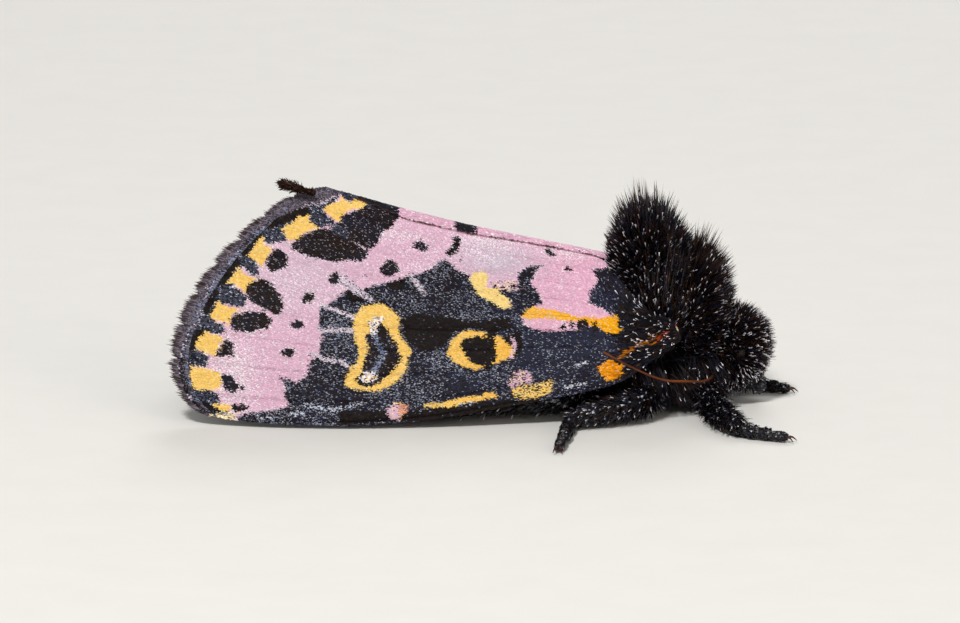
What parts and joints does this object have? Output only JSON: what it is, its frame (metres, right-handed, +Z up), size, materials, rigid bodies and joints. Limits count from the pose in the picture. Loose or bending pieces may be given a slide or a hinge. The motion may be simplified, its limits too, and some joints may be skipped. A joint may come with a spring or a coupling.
{
  "type": "spanish moth",
  "caption": "Life-size still model of a pink, black and yellow moth at rest, with roofed wings and a shaggy black thorax.",
  "frame": {"origin": "the floor point under the middle of the moth's bounding box", "axes": "+X towards the head, +Y towards the moth's left side, +Z up from the floor it rests on"},
  "size_m": [0.0242, 0.0192, 0.0088],
  "materials": {
    "pink_scales": "lilac-pink wing scales with a soft sheen",
    "charcoal_scales": "dark grey scales, matt",
    "black_coat": "black hair-like scales with small glints",
    "black_scales": "black leg scales, slightly glossy",
    "amber_cuticle": "orange-brown cuticle, slightly glossy",
    "eye_facets": "dark brown faceted eye, glossy"
  },
  "bodies": {
    "root": {"abdomen": "charcoal_scales", "antenna_left": "amber_cuticle", "antenna_right": "amber_cuticle", "collar": "black_coat", "eye_left": "eye_facets", "eye_right": "eye_facets", "foreleg_left": "black_scales", "foreleg_right": "black_scales", "forewing_left": "pink_scales", "forewing_right": "pink_scales", "head": "black_coat", "hindleg_left": "black_scales", "hindleg_right": "black_scales", "hindwing_left": "charcoal_scales", "hindwing_right": "charcoal_scales", "midleg_left": "black_scales", "midleg_right": "black_scales", "palp_left": "black_coat", "palp_right": "black_coat", "thorax": "black_coat"}
  },
  "joints": []
}
